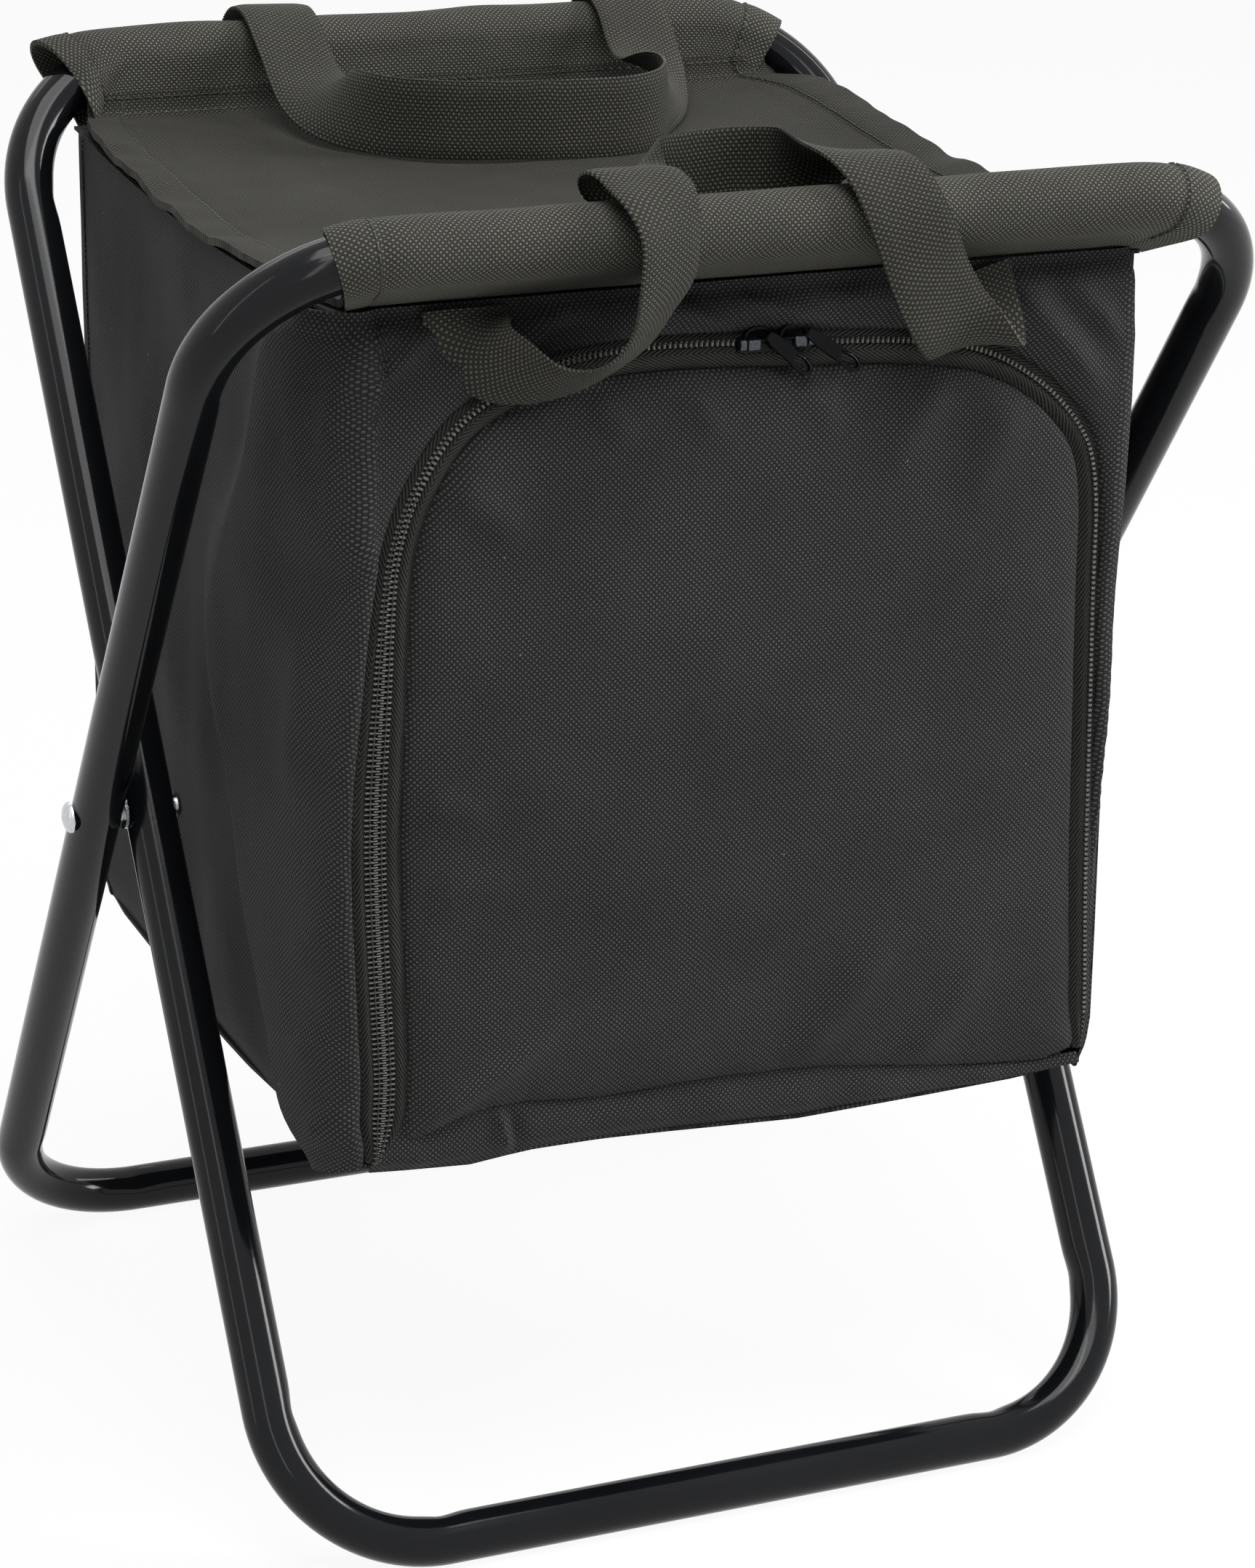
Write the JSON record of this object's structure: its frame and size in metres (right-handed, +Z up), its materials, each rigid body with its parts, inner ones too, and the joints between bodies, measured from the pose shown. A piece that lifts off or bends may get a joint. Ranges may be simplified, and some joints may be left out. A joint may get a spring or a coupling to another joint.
{
  "type": "folding cooler stool",
  "caption": "Folding stool with a crossed steel tube frame, a cloth seat, two webbing handles and a zipped cooler bag hung under the seat.",
  "frame": {"origin": "on the floor, under the middle of the seat", "axes": "+X along the top tubes to the right as the bag's front is faced, -Y towards the bag's front, +Z up"},
  "size_m": [0.3426, 0.3221, 0.4341],
  "materials": {
    "frame_enamel": "gloss black enamel",
    "rivet_zinc": "bright zinc plate",
    "seat_cloth": "black woven polyester",
    "sleeve_cloth": "black woven polyester",
    "bag_cloth": "black woven polyester",
    "webbing": "coarse woven polypropylene",
    "foil_lining": "foil-faced foam",
    "zip_tape": "herringbone tape",
    "zip_coil": "nylon coil",
    "zip_metal": "gloss black enamel on zinc alloy"
  },
  "bodies": {
    "outer_frame": {"outer_frame_tube": "frame_enamel", "front_sleeve": "sleeve_cloth", "left_pivot_rivet": "rivet_zinc", "right_pivot_rivet": "rivet_zinc", "left_pivot_washer": "rivet_zinc", "right_pivot_washer": "rivet_zinc"},
    "inner_frame": {"inner_frame_tube": "frame_enamel", "rear_sleeve": "sleeve_cloth"},
    "seat": {"seat_panel": "seat_cloth"},
    "cooler_bag": {"bag_left_panel": "bag_cloth", "bag_right_panel": "bag_cloth", "bag_bottom_panel": "bag_cloth", "bag_top_panel": "bag_cloth", "bag_lining": "foil_lining"},
    "bag_front": {"bag_front_surround": "bag_cloth", "bag_zip_tape": "zip_tape", "bag_zip_coil": "zip_coil"},
    "bag_back": {"bag_back_panel": "bag_cloth"},
    "flap": {"flap_panel": "bag_cloth", "flap_lining": "foil_lining", "flap_zip_tape": "zip_tape", "flap_zip_coil": "zip_coil"},
    "left_slider": {"left_zip_slider": "zip_metal"},
    "left_pull": {"left_zip_pull": "zip_metal"},
    "right_slider": {"right_zip_slider": "zip_metal"},
    "right_pull": {"right_zip_pull": "zip_metal"},
    "front_handle": {"front_handle": "webbing"},
    "rear_handle": {"rear_handle": "webbing"}
  },
  "joints": [
    {"name": "frame_fold", "type": "hinge", "parent": "outer_frame", "child": "inner_frame", "pos_m": [0, 0, 0.2072], "axis": [1, 0, 0], "range_deg": [0, 61.2], "deforming": ["seat_panel", "bag_left_panel", "bag_right_panel", "bag_back_panel", "bag_front_surround", "bag_bottom_panel", "bag_top_panel", "bag_lining", "bag_zip_tape", "bag_zip_coil", "flap_panel", "flap_lining", "flap_zip_tape", "flap_zip_coil", "front_handle", "rear_handle"]},
    {"name": "seat_fold", "type": "hinge", "parent": "outer_frame", "child": "seat", "pos_m": [0, 0, 0.2072], "axis": [1, 0, 0], "range_deg": [0, 30.8]},
    {"name": "bag_lift", "type": "slide", "parent": "seat", "child": "cooler_bag", "axis": [0, 0, 1], "range_m": [0, 0.0444]},
    {"name": "bag_front_draw_in", "type": "slide", "parent": "cooler_bag", "child": "bag_front", "axis": [0, 1, 0], "range_m": [0, 0.1151], "deforming": ["bag_left_panel", "bag_right_panel", "bag_back_panel", "bag_front_surround", "bag_bottom_panel", "bag_top_panel", "bag_lining", "bag_zip_tape", "bag_zip_coil", "flap_panel", "flap_lining", "flap_zip_tape", "flap_zip_coil"]},
    {"name": "bag_back_draw_in", "type": "slide", "parent": "cooler_bag", "child": "bag_back", "axis": [0, -1, 0], "range_m": [0, 0.1151], "deforming": ["bag_left_panel", "bag_right_panel", "bag_back_panel", "bag_front_surround", "bag_bottom_panel", "bag_top_panel", "bag_lining", "bag_zip_tape", "bag_zip_coil", "flap_panel", "flap_lining", "flap_zip_tape", "flap_zip_coil"]},
    {"name": "flap_open", "type": "hinge", "parent": "bag_front", "child": "flap", "pos_m": [0, -0.13, 0.146], "axis": [1, 0, 0], "range_deg": [0, 115], "deforming": ["flap_panel", "flap_lining", "flap_zip_tape", "flap_zip_coil"]},
    {"name": "left_slider_run", "type": "slide", "parent": "bag_front", "child": "left_slider", "axis": [-1, 0, 0], "range_m": [0, 0.038]},
    {"name": "left_pull_swing", "type": "hinge", "parent": "left_slider", "child": "left_pull", "pos_m": [-0.0023, -0.1345, 0.375], "axis": [-0.4848, 0, -0.8746], "range_deg": [0, 120]},
    {"name": "right_slider_run", "type": "slide", "parent": "bag_front", "child": "right_slider", "axis": [1, 0, 0], "range_m": [0, 0.04]},
    {"name": "right_pull_swing", "type": "hinge", "parent": "right_slider", "child": "right_pull", "pos_m": [0.0147, -0.1345, 0.375], "axis": [-0.4848, 0, -0.8746], "range_deg": [0, 120]},
    {"name": "front_handle_lift", "type": "hinge", "parent": "outer_frame", "child": "front_handle", "pos_m": [0, -0.14139, 0.41216], "axis": [1, 0, 0], "range_deg": [0, 80], "deforming": ["front_handle"]},
    {"name": "rear_handle_lift", "type": "hinge", "parent": "inner_frame", "child": "rear_handle", "pos_m": [0, 0.14139, 0.41216], "axis": [-1, 0, 0], "range_deg": [0, 80], "deforming": ["rear_handle"]}
  ],
  "couplings": [
    {"joint": "seat_fold", "follows": "frame_fold", "ratio": 0.5},
    {"joint": "bag_lift", "follows": "frame_fold", "m_per_rad": 0.040662},
    {"joint": "bag_front_draw_in", "follows": "frame_fold", "m_per_rad": 0.10678},
    {"joint": "bag_back_draw_in", "follows": "frame_fold", "m_per_rad": 0.10678}
  ]
}
